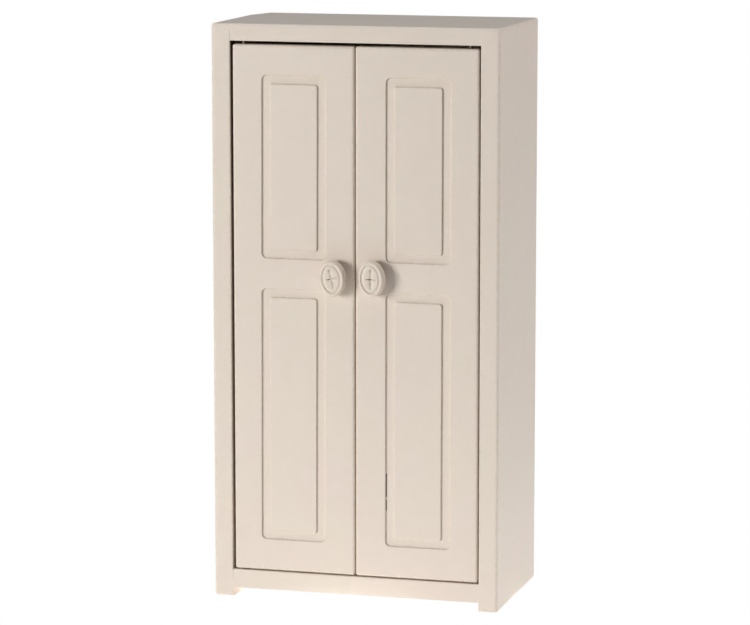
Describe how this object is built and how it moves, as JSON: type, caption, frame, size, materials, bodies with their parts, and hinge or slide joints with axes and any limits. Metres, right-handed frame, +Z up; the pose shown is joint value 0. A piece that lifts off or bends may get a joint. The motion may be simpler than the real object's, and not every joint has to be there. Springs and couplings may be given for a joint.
{
  "type": "miniature wardrobe",
  "caption": "Tall painted dolls' house wardrobe on short feet, with inset panelled doors on hidden pins, oval knobs, a hat shelf and a clothes rail inside.",
  "frame": {"origin": "on the floor, under the middle of the whole outline with the knobs", "axes": "+Z up, doors face -Y, +X to the right as one faces the doors"},
  "size_m": [0.1016, 0.062, 0.2],
  "materials": {
    "cream_paint": "satin paint on sanded fibreboard",
    "bare_beech": "bare turned beech",
    "zinc_steel": "bright zinc plate"
  },
  "bodies": {
    "carcass": {"side_left": "cream_paint", "side_right": "cream_paint", "top_board": "cream_paint", "bottom_board": "cream_paint", "back_board": "cream_paint", "hat_shelf": "cream_paint", "clothes_rail": "bare_beech", "door_stop": "cream_paint", "pivot_pin_top_left": "zinc_steel", "pivot_pin_bottom_left": "zinc_steel", "pivot_pin_top_right": "zinc_steel", "pivot_pin_bottom_right": "zinc_steel", "pivot_washer_left": "zinc_steel", "pivot_washer_right": "zinc_steel"},
    "left_door": {"door_left": "cream_paint", "knob_left": "cream_paint", "knob_screw_left": "zinc_steel"},
    "right_door": {"door_right": "cream_paint", "knob_right": "cream_paint", "knob_screw_right": "zinc_steel"}
  },
  "joints": [
    {"name": "left_door_hinge", "type": "hinge", "parent": "carcass", "child": "left_door", "pos_m": [-0.03975, -0.02335, 0.1], "axis": [0, 0, -1], "range_deg": [0, 115]},
    {"name": "right_door_hinge", "type": "hinge", "parent": "carcass", "child": "right_door", "pos_m": [0.0402, -0.02335, 0.1], "axis": [0, 0, 1], "range_deg": [0, 115]}
  ]
}
